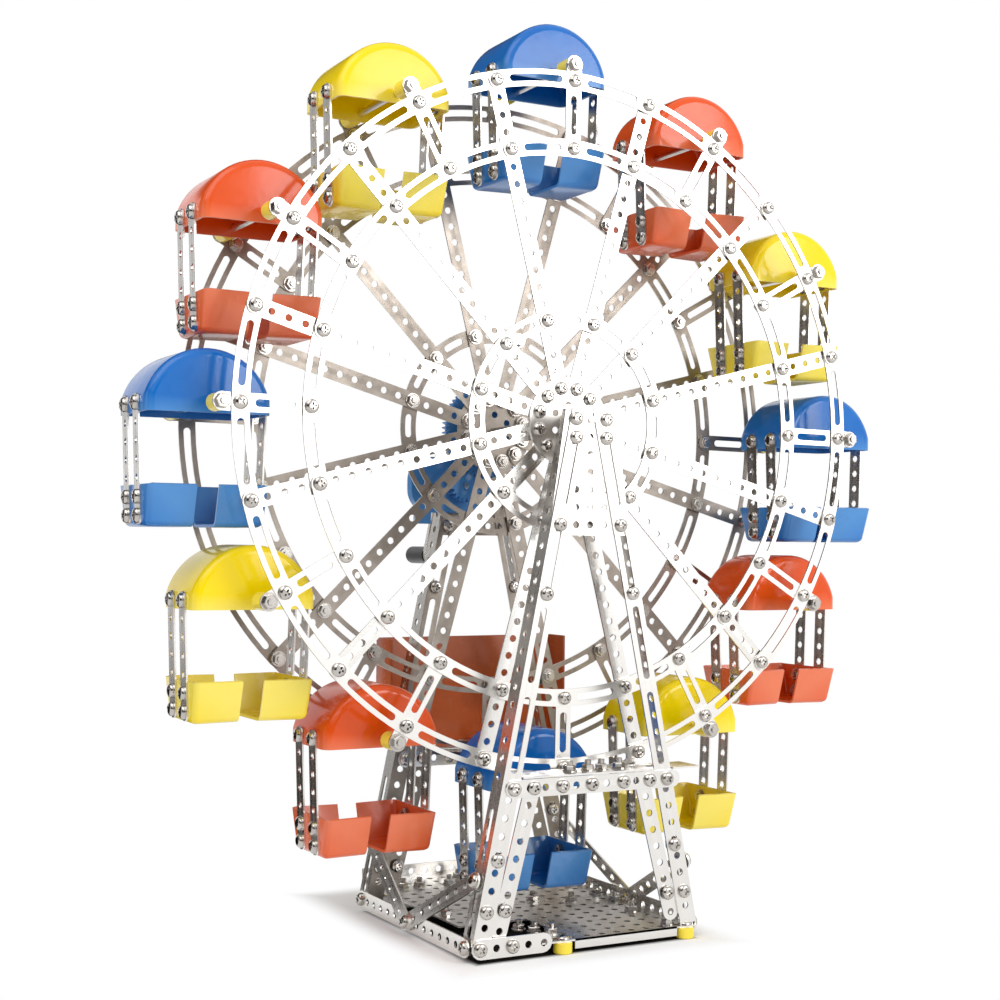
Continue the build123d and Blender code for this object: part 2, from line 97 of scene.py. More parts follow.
def runTree(tree, mesh, values):
    host = bpy.data.objects.new("host", mesh)
    scene.collection.objects.link(host)
    grower = host.modifiers.new("grow", "NODES")
    grower.node_group = tree
    for item in tree.interface.items_tree:
        if item.item_type == "SOCKET" and item.in_out == "INPUT" and item.name in values:
            grower[item.identifier] = values[item.name]
    graph = bpy.context.evaluated_depsgraph_get()
    grown = bpy.data.meshes.new_from_object(host.evaluated_get(graph), depsgraph=graph)
    host.modifiers.remove(grower)
    bpy.data.objects.remove(host)
    return grown


# cut sheet: closed loops are the outline and its slots, lone points are round holes
sheetTree, start = newTree(
    "cutSheet",
    {"Thickness": "Float", "Hole Radius": "Float", "Hole Sides": "Int", "Finish": "Material"},
)
given = start.outputs
loops = addNode(sheetTree, "GeometryNodeMeshToCurve", {"Mesh": given["Geometry"]})
near = addNode(sheetTree, "GeometryNodeInputMeshVertexNeighbors")
lone = addNode(sheetTree, "FunctionNodeCompare", {2: near, 3: 0}, data_type="INT", operation="EQUAL")
centres = addNode(
    sheetTree, "GeometryNodeMeshToPoints", {"Mesh": given["Geometry"], "Selection": lone}
)
circle = addNode(
    sheetTree,
    "GeometryNodeCurvePrimitiveCircle",
    {"Resolution": given["Hole Sides"], "Radius": given["Hole Radius"]},
)
punched = addNode(sheetTree, "GeometryNodeInstanceOnPoints", {"Points": centres, "Instance": circle})
rims = addNode(sheetTree, "GeometryNodeRealizeInstances", {"Geometry": punched})
cuts = addNode(sheetTree, "GeometryNodeJoinGeometry", {"Geometry": [loops, rims]})
filled = addNode(sheetTree, "GeometryNodeFillCurve", {"Curve": cuts})
raised = addNode(
    sheetTree,
    "GeometryNodeExtrudeMesh",
    {"Mesh": filled, "Offset": (0, 0, 1), "Offset Scale": given["Thickness"], "Individual": False},
)
under = addNode(sheetTree, "GeometryNodeFlipFaces", {"Mesh": filled})
shell = addNode(sheetTree, "GeometryNodeJoinGeometry", {"Geometry": [raised, under]})
welded = addNode(sheetTree, "GeometryNodeMergeByDistance", {"Geometry": shell, "Distance": 0.001})
endTree(sheetTree, start, welded)

# copies turned round the axle, at the origin along Y
aroundTree, start = newTree(
    "aroundAxle",
    {"Copies": "Int", "First Angle": "Float", "Step Angle": "Float", "Finish": "Material"},
)
given = start.outputs
spots = addNode(aroundTree, "GeometryNodeMeshLine", {"Count": given["Copies"], "Offset": (0, 0, 0)})
count = addNode(aroundTree, "GeometryNodeInputIndex")
turned = addNode(
    aroundTree,
    "ShaderNodeMath",
    {0: count, 1: given["Step Angle"], 2: given["First Angle"]},
    operation="MULTIPLY_ADD",
)
clockwise = addNode(aroundTree, "ShaderNodeMath", {0: turned, 1: -1.0}, operation="MULTIPLY")
spin = addNode(aroundTree, "ShaderNodeCombineXYZ", {"Y": clockwise})
copies = addNode(
    aroundTree,
    "GeometryNodeInstanceOnPoints",
    {"Points": spots, "Instance": given["Geometry"], "Rotation": spin},
)
endTree(aroundTree, start, copies)

# one fastener on each point, its own Z along the point's aim
fastenerTree, start = newTree("fasteners", {"Piece": "Object", "Finish": "Material"})
aim = addNode(
    fastenerTree, "GeometryNodeInputNamedAttribute", {"Name": "aim"}, data_type="FLOAT_VECTOR"
)
turn = addNode(fastenerTree, "GeometryNodeInputNamedAttribute", {"Name": "turn"}, data_type="FLOAT")
aimed = addNode(fastenerTree, "FunctionNodeAlignRotationToVector", {"Vector": aim}, axis="Z")
driven = addNode(fastenerTree, "FunctionNodeAxisAngleToRotation", {"Axis": (0, 0, 1), "Angle": turn})
pose = addNode(
    fastenerTree,
    "FunctionNodeRotateRotation",
    {"Rotation": aimed, "Rotate By": driven},
    rotation_space="LOCAL",
)
model = addNode(fastenerTree, "GeometryNodeObjectInfo", {"Object": start.outputs["Piece"]})
screwed = addNode(
    fastenerTree,
    "GeometryNodeInstanceOnPoints",
    {"Points": start.outputs["Geometry"], "Instance": model.outputs["Geometry"], "Rotation": pose},
)
endTree(fastenerTree, start, screwed)
print("node trees built")


# outlines, all flat and in the order of their corners
def stripOutline(length, width, middle=(0, 0), turn=0.0):
    r = width / 2
    steps = kit["endSteps"]
    corners = []
    for side in (1, -1):
        for n in range(steps + 1):
            t = radians(-90 + 180 * n / steps)
            corners.append((side * (length / 2 - r + r * cos(t)), side * r * sin(t)))
    c, s = cos(radians(turn)), sin(radians(turn))
    return [(middle[0] + x * c - y * s, middle[1] + x * s + y * c) for x, y in corners]


def arcOutline(radius, half, width, middle=0.0):  # half is half the angle between the end centres
    r = width / 2
    steps = kit["endSteps"]
    run = max(4, int(half * 2 / kit["arcStep"]))
    corners = []
    for n in range(run + 1):
        t = radians(middle - half + 2 * half * n / run)
        corners.append(((radius + r) * cos(t), (radius + r) * sin(t)))
    for end, back in ((half, False), (-half, True)):
        at = radians(middle + end)
        if back:
            for n in range(run + 1):
                t = radians(middle + half - 2 * half * n / run)
                corners.append(((radius - r) * cos(t), (radius - r) * sin(t)))
        for n in range(1, steps):
            t = at + pi * n / steps + (pi if back else 0)
            corners.append((radius * cos(at) + r * cos(t), radius * sin(at) + r * sin(t)))
    return corners


def row(start, stop, step):  # places from start to just before stop
    return [start + n * step for n in range(ceil((stop - start) / step))]


def box2d(x0, x1, y0, y1):
    return [(x0, y0), (x1, y0), (x1, y1), (x0, y1)]


def sheetMesh(outlines, holes=(), thickness=thick):
    corners, edges = [], []
    for outline in outlines:
        first = len(corners)
        corners += [(x, y, 0) for x, y in outline]
        edges += [(first + n, first + (n + 1) % len(outline)) for n in range(len(outline))]
    corners += [(x, y, 0) for x, y in holes]
    host = bpy.data.meshes.new("cut")
    host.from_pydata(corners, edges, [])
    holed = {"Hole Radius": kit["hole"] / 2, "Hole Sides": kit["holeSides"]}
    return runTree(sheetTree, host, {"Thickness": thickness, **holed})


def holedStrip(length, middle, first, holes, width=kit["width"]):  # along x, first is a hole's x
    outline = stripOutline(length, width, middle)
    return sheetMesh([outline], [(first + n * pitch, middle[1]) for n in range(holes)])


def planeMatrix(origin, xDir, zDir):
    x, z = Vector(xDir).normalized(), Vector(zDir).normalized()
    plane = Matrix((x, z.cross(x), z)).transposed().to_4x4()
    plane.translation = origin
    return plane


def upright(y, z=0.0):  # square to the axle, facing the front
    return planeMatrix((0, y, z), (1, 0, 0), (0, -1, 0))


def moved(mesh, matrix):
    copy = mesh.copy()
    copy.transform(matrix)
    if matrix.determinant() < 0:
        copy.flip_normals()
    return copy


def shifted(mesh, x=0.0, y=0.0, z=0.0):
    return moved(mesh, Matrix.Translation((x, y, z)))


mirrorX = Matrix.Diagonal((-1, 1, 1, 1))
mirrorY = Matrix.Diagonal((1, -1, 1, 1))


def joined(meshes):
    work = bmesh.new()
    for mesh in meshes:
        work.from_mesh(mesh)
    result = bpy.data.meshes.new("joined")
    work.to_mesh(result)
    work.free()
    return result


def smoothed(mesh, angle=35):
    mesh.polygons.foreach_set("use_smooth", [True] * len(mesh.polygons))
    mesh.set_sharp_from_angle(angle=radians(angle))
    return mesh


def reworked(mesh, change):  # runs change on the mesh while it is open for editing
    work = bmesh.new()
    work.from_mesh(mesh)
    change(work)
    work.to_mesh(mesh)
    work.free()
    return mesh


def faceOut(work):
    bmesh.ops.recalc_face_normals(work, faces=work.faces)


# a mesh in millimetres becomes a piece; inner is the finish of faces that look towards the middle, a
# darker nickel that paints their shade
def show(name, mesh, finish, body, nodes=(), inner=None):
    mesh.name = name
    mesh.materials.clear()
    mesh.materials.append(finish)
    if inner:
        mesh.materials.append(inner)
        for face in mesh.polygons:
            face.material_index = int(face.normal.y * face.center.y < -0.5 * abs(face.center.y))
    toFrame = Matrix.Translation((0, kit["wheelY"] / 1000, 0)) @ Matrix.Scale(0.001, 4)
    mesh.transform(toFrame)
    piece = bpy.data.objects.new(name, mesh)
    scene.collection.objects.link(piece)
    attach(piece, body)
    if nodes:
        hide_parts(*nodes)
    return piece


def newFinish(name):
    finish = bpy.data.materials.new(name)
    finish.use_nodes = True
    return finish, finish.node_tree, finish.node_tree.nodes["Principled BSDF"]


# what moulded and plated skins share: two tones in clouds, worn edges and a fine grain
def skin(name, deep, main, clouds, edges, grain, bump):
    finish, tree, shader = newFinish(name)
    place = addNode(tree, "ShaderNodeTexCoord").outputs["Object"]
    cloud = addNode(tree, "ShaderNodeTexNoise", {"Vector": place, **clouds})
    tones = {"Factor": cloud, 6: linear(deep), 7: linear(main)}
    mix = addNode(tree, "ShaderNodeMix", tones, data_type="RGBA")
    shape = addNode(tree, "ShaderNodeNewGeometry").outputs["Pointiness"]
    edge = addNode(tree, "ShaderNodeMapRange", {"Value": shape, **edges})
    grain = addNode(tree, "ShaderNodeTexNoise", {"Vector": place, **grain})
    bump = addNode(tree, "ShaderNodeBump", {"Height": grain, **bump})
    feed(tree, shader, {"Normal": bump})
    return finish, tree, shader, place, cloud, mix, edge


# ABS, injection moulded: glossy, faintly rippled skin, a little paler where edges have rubbed
def mouldedPlastic(name, main, deep, rubbed, gloss, film=0.38, paintedShadeTop=None):
    finish, tree, shader, place, cloud, mix, edge = skin(
        name,
        deep,
        main,
        {"Scale": 45.0, "Detail": 3.0, "Roughness": 0.55},  # 45 in a metre: clouds of about 22 mm
        {"From Min": 0.53, "From Max": 0.62, "To Max": 0.5},
        {"Scale": 220.0, "Detail": 2.0},  # the mould's ripple, drawn at about 5 mm so that it shows
        {"Strength": 0.12, "Distance": 0.0004},
    )
    worn = addNode(
        tree, "ShaderNodeMix", {"Factor": edge, 6: mix.outputs[2], 7: linear(rubbed)}, data_type="RGBA"
    )
    # 160 in a metre: handled patches of about 6 mm
    grime = addNode(tree, "ShaderNodeTexNoise", {"Vector": place, "Scale": 160.0, "Detail": 4.0})
    rough = addNode(
        tree, "ShaderNodeMapRange", {"Value": grime, "To Min": gloss - 0.06, "To Max": gloss + 0.1}
    )
    feed(tree, shader, {"Base Color": worn.outputs[2], "Roughness": rough})
    feed(tree, shader, {"IOR": 1.53, "Specular IOR Level": film})
    if paintedShadeTop:  # the main colour gives way to the deep tone towards the top, a painted shade
        height = addNode(tree, "ShaderNodeSeparateXYZ", {"Vector": place}).outputs["Z"]
        ends = {"From Min": paintedShadeTop[0], "From Max": paintedShadeTop[1], "To Min": 0.9, "To Max": 0.0}
        rise = addNode(tree, "ShaderNodeMapRange", {"Value": height, **ends})
        patch = addNode(tree, "ShaderNodeMath", {0: rise, 1: cloud}, operation="MULTIPLY")
        share = addNode(
            tree, "ShaderNodeMath", {0: patch, 1: 2.0}, operation="MULTIPLY", use_clamp=True
        )
        feed(tree, mix, {"Factor": share})
    return finish


# steel sheet with bright nickel: mirror-like, with a soft rolled grain, duller spots and soft edges
def platedMetal(name, main, dull, gloss):
    finish, tree, shader, _, stains, mix, edge = skin(
        name,
        dull,
        main,
        {"Scale": 70.0, "Detail": 5.0, "Roughness": 0.6},  # 70 in a metre: spots of about 14 mm
        {"From Min": 0.52, "From Max": 0.6, "To Max": 0.12},
        {"Scale": 420.0, "Detail": 3.0},  # the rolled grain, drawn at about 2.4 mm so that it shows
        {"Strength": 0.1, "Distance": 0.0002},
    )
    spread = addNode(
        tree, "ShaderNodeMapRange", {"Value": stains, "To Min": gloss + 0.1, "To Max": gloss - 0.05}
    )
    rough = addNode(tree, "ShaderNodeMath", {0: spread, 1: edge}, operation="ADD", use_clamp=True)
    feed(tree, shader, {"Base Color": mix.outputs[2], "Roughness": rough, "Metallic": 1.0})
    return finish


finishes = {
    "nickel": platedMetal("brightNickelPlate", "#F1EFEC", "#DEDAD4", 0.16),
    # inner: darker, browner nickel for faces that look towards the middle, painted shade
    "inner": platedMetal("paintedShadeNickelInside", "#B0A79E", "#70675E", 0.3),
    "bolt": platedMetal("nickelPlatedBolts", "#DEDAD5", "#A8A29B", 0.09),
    "blue": mouldedPlastic("blueMouldedABS", "#1272C6", "#0B5CAE", "#6CA8DC", 0.14),
    "yellow": mouldedPlastic("yellowMouldedABS", "#FBE000", "#F0CE00", "#F8EE8A", 0.14),
    "red": mouldedPlastic("orangeRedMouldedABS", "#E85814", "#D64608", "#EE9674", 0.14),
    # the screen's deep tone #7A2206 darkens its top as painted shade
    "screen": mouldedPlastic(
        "redMouldedScreen", "#CC5210", "#7A2206", "#D87848", 0.24, film=0.16, paintedShadeTop=(0.112, 0.15)
    ),
    "black": mouldedPlastic("blackMouldedABS", "#1A1A1C", "#0E0E10", "#4A4A4C", 0.3),
}
print("finishes mixed")


def steelSheet(name, mesh, body, node, paintedShadeInside=True):
    # faces that look towards the middle take the darker nickel, a painted shade
    inner = finishes["inner"] if paintedShadeInside else None
    show(name, mesh, finishes["nickel"], body, [node], inner)


def boltSet(name, mesh, body):
    show(name, mesh, finishes["bolt"], body)


# pan heads with a cross recess, and hex nuts on washers with the bolt's end in them
fastener = {
    "headR": 4.0,
    "headRim": 1.0,
    "headShoulder": (3.5, 1.9),
    "headTop": (2.6, 2.4),
    "headSides": 12,
    "crossLong": 2.0,
    "crossWide": 0.55,
    "crossDeep": 1.3,
    "washerThick": 0.7,
    "washerSides": 16,
    "nutChamfer": 0.4,
    "nutTop": 0.9,  # radius of the nut's top over its own
    "endR": 1.9,
    "endSunk": 0.2,
    "endSides": 8,
    "turnStep": 137.5,  # degrees from one bolt's turn to the next
}
nutSizes = {  # washer's radius, width over flats, height, length of bolt beyond it
    "nut": (4.6, 6.6, 2.2, 1.2),
    "rodNut": (5.2, 7.0, 2.8, 0.9),
    "stud": (4.2, 6.2, 2.6, 2.6),
}


def rimCorners(r, z, sides):
    turns = [2 * pi * n / sides for n in range(sides)]
    return [Vector((r * cos(t), r * sin(t), z)) for t in turns]


def stackedMesh(name, rims, cap=None):  # rims of equal count joined by quads, the last one capped
    corners, faces = [], []
    for rim in rims:
        corners += rim
    sides = len(rims[0])
    for level in range(len(rims) - 1):
        for n in range(sides):
            a, b = level * sides + n, level * sides + (n + 1) % sides
            faces.append((a, b, b + sides, a + sides))
    last = [(len(rims) - 1) * sides + n for n in range(sides)]
    if cap is None:
        faces.append(last)
    else:
        outline, depth = cap
        base = len(corners)
        corners += outline
        sets = [[corners[i] for i in last], outline]
        index = last + list(range(base, base + len(outline)))
        for tri in tessellate_polygon(sets):
            faces.append([index[i] for i in tri])
        floor = len(corners)
        corners += [c - Vector((0, 0, depth)) for c in outline]
        k = len(outline)
        for n in range(k):
            faces.append((base + n, base + (n + 1) % k, floor + (n + 1) % k, floor + n))
        faces.append(list(range(floor, floor + k)))
    faces.append(list(reversed(range(sides))))
    mesh = bpy.data.meshes.new(name)
    mesh.from_pydata(corners, [], faces)
    return reworked(mesh, faceOut)


def panHead(f):
    long, wide, top = f["crossLong"], f["crossWide"], f["headTop"][1]
    cross = []
    for n in range(4):
        c, s = cos(n * pi / 2), sin(n * pi / 2)
        for x, y in ((wide, wide), (long, wide), (long, -wide)):
            cross.append(Vector((x * c + y * s, x * s - y * c, top)))
    cross = sorted(cross, key=lambda v: atan2(v.y, v.x))
    profile = ((f["headR"], 0), (f["headR"], f["headRim"]), f["headShoulder"], f["headTop"])
    rims = [rimCorners(*rim, f["headSides"]) for rim in profile]
    return smoothed(stackedMesh("panHead", rims, (cross, f["crossDeep"])), 50)


def washerNut(f, washerR, flats, high, endOut):
    washer = [rimCorners(washerR, z, f["washerSides"]) for z in (0, f["washerThick"])]
    r = flats / sqrt(3)
    profile = ((r, 0), (r, high - f["nutChamfer"]), (r * f["nutTop"], high))
    nut = stackedMesh("hexNut", [rimCorners(*rim, 6) for rim in profile])
    end = [rimCorners(f["endR"], z, f["endSides"]) for z in (high - f["endSunk"], high + endOut)]
    nut = joined([nut, stackedMesh("boltEnd", end)])
    return joined([stackedMesh("washer", washer), shifted(nut, z=f["washerThick"])])


def template(mesh, name):
    one = bpy.data.objects.new(name, mesh)
    scene.collection.objects.link(one)
    return one


models = {kind: template(washerNut(fastener, *size), kind) for kind, size in nutSizes.items()}
models["head"] = template(panHead(fastener), "head")


def fastened(spots, kind):  # spots are (place, aim); each is turned by its own amount
    host = bpy.data.meshes.new("spots")
    host.from_pydata([place for place, _ in spots], [], [])
    host.attributes.new("aim", "FLOAT_VECTOR", "POINT")
    host.attributes.new("turn", "FLOAT", "POINT")
    for n, (_, way) in enumerate(spots):
        host.attributes["aim"].data[n].vector = way
        host.attributes["turn"].data[n].value = radians(n * fastener["turnStep"] % 360)
    return runTree(fastenerTree, host, {"Piece": models[kind]})


print("fasteners modelled")

# the two wheels
wheel = {
    "face": 44.0,  # inner face of each wheel from the middle
    "cars": 12,
    "first": 89.32,  # degrees of the first car
    "outer": 200.0,
    "inner": 160.0,
    "small": 60.0,
    "pivot": 210.0,
    "slotEnd": 8.4,
    "spokeFrom": 20.0,
    "hubDisc": 26.0,
    "hubRow": 10.0,
    "discHoles": 6,
    "discSides": 48,
    "bossRims": ((6.0, 46.0), (6.0, 54.0), (5.4, 54.5)),  # radius, distance from the middle
    "bossSides": 24,
}
cell = 360 / wheel["cars"]


def aroundAxle(mesh, copies, first):
    turned = runTree(
        aroundTree,
        mesh,
        {"Copies": copies, "First Angle": radians(first), "Step Angle": 2 * pi / copies},
    )
    return shifted(turned, z=kit["axleZ"])


def frontSheet(mesh, level):  # puts a flat sheet on the front wheel, level counted outwards
    return moved(mesh, upright(-(wheel["face"] + level * thick)))


spokeHoles = int((wheel["outer"] - wheel["spokeFrom"]) / pitch) + 1
spokeMiddle = (wheel["outer"] + wheel["spokeFrom"]) / 2
spokeLong = wheel["outer"] - wheel["spokeFrom"] + kit["width"]
spoke = holedStrip(spokeLong, (spokeMiddle, 0), wheel["spokeFrom"], spokeHoles)
spokes = aroundAxle(frontSheet(spoke, 0), wheel["cars"], wheel["first"] + cell / 2)

hangerLength = wheel["pivot"] - wheel["inner"]
hangerMiddle = (wheel["pivot"] + wheel["inner"]) / 2
hanger = sheetMesh(
    [
        stripOutline(hangerLength + kit["width"], kit["width"], (hangerMiddle, 0)),
        stripOutline(
            wheel["outer"] - wheel["inner"] - 2 * wheel["slotEnd"],
            kit["slot"],
            ((wheel["outer"] + wheel["inner"]) / 2, 0),
        ),
    ]
)
hangers, rings = [], []
for level in (0, 1):
    first = wheel["first"] + (1 + level) * cell
    hangers.append(aroundAxle(frontSheet(hanger, level), wheel["cars"] // 2, first))
    for radius, slots in ((wheel["outer"], 2), (wheel["inner"], 2), (wheel["small"], 1)):
        outlines = [arcOutline(radius, cell / 2, kit["width"])]
        part = cell / slots
        chord = radius * sin(radians(part / 2)) - wheel["slotEnd"] - kit["slot"] / 2
        for n in range(slots):
            middle = (n - (slots - 1) / 2) * part
            outlines.append(arcOutline(radius, degrees(chord / radius), kit["slot"], middle))
        arc = frontSheet(sheetMesh(outlines), 1 + level)
        rings.append(aroundAxle(arc, wheel["cars"] // 2, first))
hangers, rings = joined(hangers), joined(rings)

discTurns = [radians((n + 0.5) * 360 / wheel["discHoles"]) for n in range(wheel["discHoles"])]
disc = sheetMesh(
    [[(c.x, c.y) for c in rimCorners(wheel["hubDisc"], 0, wheel["discSides"])]],
    [(wheel["hubRow"] * cos(t), wheel["hubRow"] * sin(t)) for t in discTurns],
)


def alongAxle(rims, sides, way):  # rims are (radius, distance from the middle)
    circles = [[Vector((q.x, way * y, q.y)) for q in rimCorners(r, 0, sides)] for r, y in rims]
    return stackedMesh("alongAxle", circles)


boss = alongAxle(wheel["bossRims"], wheel["bossSides"], -1)
hub = shifted(joined([frontSheet(disc, 1), boss]), z=kit["axleZ"])


def onWheel(radius, angle, y):
    t = radians(angle)
    return (radius * cos(t), y, kit["axleZ"] + radius * sin(t))


heads, nuts, rodNuts = [], [], []


def clamp(radius, angle, inside, sheets):  # a bolt through so many sheets, its nut inside
    heads.append((onWheel(radius, angle, -(inside + sheets * thick)), (0, -1, 0)))
    nuts.append((onWheel(radius, angle, -inside), (0, 1, 0)))


for n in range(wheel["cars"]):
    carAngle = wheel["first"] + n * cell
    spokeAngle = carAngle + cell / 2
    face = wheel["face"] + (1 - n % 2) * thick  # cars 1, 3, 5 and so on hang further out
    for radius in (wheel["outer"], wheel["inner"]):
        clamp(radius, carAngle, face, 2)
    for radius in (wheel["outer"], wheel["inner"], wheel["small"]):
        clamp(radius, spokeAngle, wheel["face"], 3)
    clamp(wheel["spokeFrom"], spokeAngle, wheel["face"], 2)
    rodNuts.append((onWheel(wheel["pivot"], carAngle, -(face + thick)), (0, -1, 0)))
wheelHeads = fastened(heads, "head")
wheelNuts = joined([fastened(nuts, "nut"), fastened(rodNuts, "rodNut")])

for end, flip in (("front", Matrix.Identity(4)), ("back", mirrorY)):
    for part, mesh, node in (
        ("Spokes", spokes, f"{end}_spokes"),
        ("Hangers", hangers, f"{end}_hangers"),
        ("Rings", rings, f"{end}_rings"),
        ("Hub", hub, "hub_discs"),
    ):
        steelSheet(end + part, moved(mesh, flip), "wheel", node)
    boltSet(f"{end}WheelBolts", moved(wheelHeads, flip), "wheel")
    boltSet(f"{end}WheelNuts", moved(wheelNuts, flip), "wheel")
print("wheels built")

# the cars: arched roof, four straps, two open tubs, on a rod between the wheels
car = {
    "wide": 70.0,
    "deep": 52.0,
    "high": 35.0,
    "side": 8.0,  # upright part below the arch
    "belowPivot": 5.0,
    "wall": 1.6,
    "fillet": 5.0,
    "filletSteps": 6,
    "archSteps": 28,
    "strapHoles": 7,
    "strapSpacing": 20.0,
    "lean": 2.0,
    "seatTop": 43.5,
    "seatHigh": 22.5,
    "wayIn": 12.0,
    "seatEnd": 56.0,
    "seatEntry": 50.0,
    "flare": 7.0,
    "seatFillet": 3.4,
    "bushR": 5.0,
    "bushFrom": 33.5,
    "bushEdge": 0.6,
    "bushSides": 16,
    "boltDrops": (0.0, 50.0, 60.0),
}
carColours = ("blue", "yellow", "red") * 4


def thickened(mesh, thickness):
    one = bpy.data.objects.new("shell", mesh)
    scene.collection.objects.link(one)
    wall = one.modifiers.new("wall", "SOLIDIFY")
    wall.thickness = thickness
    wall.offset = -1
    wall.use_even_offset = True
    graph = bpy.context.evaluated_depsgraph_get()
    grown = bpy.data.meshes.new_from_object(one.evaluated_get(graph), depsgraph=graph)
    bpy.data.objects.remove(one)
    return grown


def faceUp(work):
    faceOut(work)
    top = max(work.faces, key=lambda f: f.calc_center_median().z)
    if top.normal.z < 0:
        bmesh.ops.reverse_faces(work, faces=work.faces)


def roofShell(c):  # rows of one outline, drawn in along the rounded rims
    rise = c["high"] - c["side"]
    archR = ((c["wide"] / 2) ** 2 + rise**2) / (2 * rise)
    centre = c["high"] - c["belowPivot"] - archR
    rows = set()
    for end in (-1, 1):
        for n in range(c["filletSteps"] + 1):
            t = pi / 2 * n / c["filletSteps"]
            y = end * (c["deep"] / 2 - c["fillet"] * (1 - sin(t)))
            rows.add((y, c["fillet"] * (1 - cos(t))))
    rows = sorted(rows)
    corners, faces = [], []
    for y, inset in rows:
        side, r = c["wide"] / 2 - inset, archR - inset
        half = atan2(side, sqrt(r * r - side * side))
        corners.append((-side, y, -c["belowPivot"]))
        for n in range(c["archSteps"] + 1):
            t = half * (2 * n / c["archSteps"] - 1)
            corners.append((r * sin(t), y, centre + r * cos(t)))
        corners.append((side, y, -c["belowPivot"]))
    k = c["archSteps"] + 3
    for level in range(len(rows) - 1):
        for n in range(k - 1):
            a = level * k + n
            faces.append((a, a + 1, a + k + 1, a + k))
    faces.append(list(range(k)))
    faces.append(list(reversed(range((len(rows) - 1) * k, len(rows) * k))))
    mesh = bpy.data.meshes.new("roof")
    mesh.from_pydata(corners, [], faces)
    return smoothed(thickened(reworked(mesh, faceUp), c["wall"]), 30)


def seatShell(c):
    lean = radians(c["lean"])
    endX = c["wide"] / 2 - (c["seatTop"] - c["belowPivot"]) * tan(lean)
    top, low = -c["seatTop"], -c["seatTop"] - c["seatHigh"]
    footX = endX - c["seatHigh"] * tan(lean)
    work = bmesh.new()
    corners = []
    for s in (-1, 1):
        for z, x, flare in ((top, endX, 0), (low, footX, c["flare"])):
            corners.append(work.verts.new((c["wayIn"] / 2, s * (c["seatEntry"] / 2 - flare), z)))
            corners.append(work.verts.new((x, s * (c["seatEnd"] / 2 - flare), z)))
    for face in ((0, 1, 5, 4), (2, 6, 7, 3), (1, 3, 7, 5), (0, 4, 6, 2), (0, 2, 3, 1), (4, 5, 7, 6)):
        work.faces.new([corners[n] for n in face])
    soft = []
    for e in work.edges:
        a, b = (v.co for v in e.verts)
        standing = abs(a.z - b.z) > 1 and min(a.x, b.x) > c["wide"] / 4
        lying = a.z < low + 0.01 and b.z < low + 0.01 and max(a.x, b.x) > c["wide"] / 4
        if standing or lying:
            soft.append(e)
    bmesh.ops.bevel(work, geom=soft, offset=c["seatFillet"], segments=4, profile=0.5, affect="EDGES")
    faceOut(work)
    opened = [f for f in work.faces if f.normal.z > 0.9 or f.normal.x < -0.9]
    bmesh.ops.delete(work, geom=opened, context="FACES")
    mesh = bpy.data.meshes.new("seat")
    work.to_mesh(mesh)
    work.free()
    return smoothed(thickened(mesh, c["wall"]), 30)


strapLong = (car["strapHoles"] - 1) * pitch
strap = sheetMesh(
    [stripOutline(strapLong + kit["width"], kit["width"], (-strapLong / 2, 0))],
    [(-n * pitch, 0) for n in range(car["strapHoles"])],
)
strapSet, carHeads, carNuts = [], [], []
lean = radians(car["lean"])
topX = car["wide"] / 2 + sin(lean) * car["belowPivot"]
for s in (-1, 1):
    way = Vector((s * cos(lean), 0, -sin(lean)))  # away from the car
    up = Vector((s * sin(lean), 0, cos(lean)))
    for y in (-car["strapSpacing"] / 2, car["strapSpacing"] / 2):
        top = Vector((s * topX, y, 0))
        strapSet.append(moved(strap, planeMatrix(top, up, way)))
        for drop in car["boltDrops"]:
            hole = top - up * drop
            carHeads.append((hole + way * thick, way))
            carNuts.append((hole - way * car["wall"], -way))
strapSet = joined(strapSet)
carHeads = fastened(carHeads, "head")
carNuts = fastened(carNuts, "nut")
roof = roofShell(car)
seat = seatShell(car)
seats = joined([seat, moved(seat, mirrorX)])

bushes = []
for n in range(wheel["cars"]):
    number, colour = f"{n + 1:02d}", carColours[n]
    body = f"car_{number}"
    x, _, z = onWheel(wheel["pivot"], wheel["first"] + n * cell, 0)
    for part, mesh in (("Roof", roof), ("Seats", seats)):
        piece, node = shifted(mesh, x, 0, z), f"{body}_{part.lower()}"
        show(f"car{number}{part}", piece, finishes[colour], body, [node])
    steelSheet(f"car{number}Straps", shifted(strapSet, x, 0, z), body, f"{body}_straps", False)
    boltSet(f"car{number}Bolts", shifted(carHeads, x, 0, z), body)
    boltSet(f"car{number}Nuts", shifted(carNuts, x, 0, z), body)
    reach = wheel["face"] + (1 - n % 2) * thick
    rims = (
        (car["bushR"], car["bushFrom"]),
        (car["bushR"], reach - car["bushEdge"]),
        (car["bushR"] - car["bushEdge"], reach),
    )
    for side in (-1, 1):
        bush = smoothed(alongAxle(rims, car["bushSides"], side), 40)
        bushes.append(shifted(bush, x, 0, z))
show("rodBushes", joined(bushes), finishes["yellow"], "wheel")
print("cars built")

